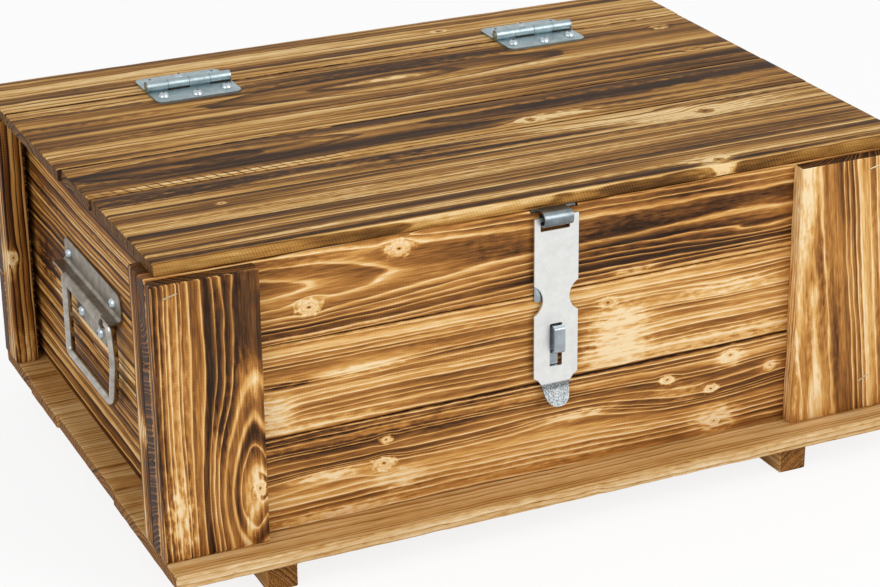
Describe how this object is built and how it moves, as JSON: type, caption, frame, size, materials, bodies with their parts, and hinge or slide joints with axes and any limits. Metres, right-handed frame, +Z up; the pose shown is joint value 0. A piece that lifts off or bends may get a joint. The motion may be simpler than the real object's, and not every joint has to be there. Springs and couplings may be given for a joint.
{
  "type": "storage chest",
  "caption": "Low boarded storage chest on two runners, with a hinged lid, a hasp and staple, and folding drop handles on the end walls.",
  "frame": {"origin": "centre of the overall box in plan, on the ground under the runners", "axes": "+X along the length to the right as seen from the hasp side, +Y towards the hinges at the back, +Z up"},
  "size_m": [0.606, 0.452, 0.2593],
  "materials": {
    "bail_steel": "worn bright steel wire",
    "plain_spruce": "rough-sawn, lightly toned",
    "scorched_spruce": "scorched and brushed, satin",
    "handle_steel": "dull grey-brown steel",
    "screw_zinc": "bright zinc plate",
    "strap_zinc": "satin zinc plate",
    "staple_zinc": "satin zinc plate",
    "hinge_zinc": "bright zinc plate, slightly bluish",
    "top_spruce": "scorched and brushed, rough-sawn"
  },
  "bodies": {
    "chest": {"corner_strip_front_left": "plain_spruce", "corner_strip_front_right": "plain_spruce", "corner_strip_rear_left": "plain_spruce", "corner_strip_rear_right": "plain_spruce", "floor_board_front": "plain_spruce", "floor_board_middle": "plain_spruce", "floor_board_narrow": "plain_spruce", "floor_board_rear": "plain_spruce", "front_board_bottom": "scorched_spruce", "front_board_middle": "scorched_spruce", "front_board_top": "scorched_spruce", "front_post_left": "scorched_spruce", "front_post_right": "scorched_spruce", "handle_plate_left": "handle_steel", "handle_plate_right": "handle_steel", "handle_screws_left": "screw_zinc", "handle_screws_right": "screw_zinc", "hinge_fixed_leaf_left": "hinge_zinc", "hinge_fixed_leaf_right": "hinge_zinc", "hinge_fixed_screws": "screw_zinc", "hinge_pin_left": "hinge_zinc", "hinge_pin_right": "hinge_zinc", "left_end_board_bottom": "scorched_spruce", "left_end_board_middle": "scorched_spruce", "left_end_board_top": "scorched_spruce", "rear_board_bottom": "scorched_spruce", "rear_board_middle": "scorched_spruce", "rear_board_top": "scorched_spruce", "rear_top_board": "top_spruce", "right_end_board_bottom": "scorched_spruce", "right_end_board_middle": "scorched_spruce", "right_end_board_top": "scorched_spruce", "runner_left": "plain_spruce", "runner_right": "plain_spruce", "staple_loop": "staple_zinc", "staple_plate": "staple_zinc", "staple_screws": "screw_zinc"},
    "lid": {"hasp_plate": "staple_zinc", "hasp_plate_screws": "screw_zinc", "hinge_lid_leaf_left": "hinge_zinc", "hinge_lid_leaf_right": "hinge_zinc", "hinge_lid_screws": "screw_zinc", "lid_batten_left": "plain_spruce", "lid_batten_right": "plain_spruce", "lid_board_front": "top_spruce", "lid_board_middle": "top_spruce", "lid_board_rear": "top_spruce"},
    "hasp": {"hasp_leaf": "strap_zinc"},
    "left_bail": {"bail_left": "bail_steel"},
    "right_bail": {"bail_right": "bail_steel"}
  },
  "joints": [
    {"name": "lid_hinge", "type": "hinge", "parent": "chest", "child": "lid", "pos_m": [0, 0.149, 0.2548], "axis": [-1, 0, 0], "range_deg": [0, 170]},
    {"name": "hasp_hinge", "type": "hinge", "parent": "lid", "child": "hasp", "pos_m": [-0.0003, -0.199, 0.23525], "axis": [-1, 0, 0], "range_deg": [0, 170]},
    {"name": "left_bail_swing", "type": "hinge", "parent": "chest", "child": "left_bail", "pos_m": [-0.2865, 0.009, 0.149], "axis": [0, 1, 0], "range_deg": [0, 90]},
    {"name": "right_bail_swing", "type": "hinge", "parent": "chest", "child": "right_bail", "pos_m": [0.2865, 0.009, 0.149], "axis": [0, -1, 0], "range_deg": [0, 90]}
  ]
}
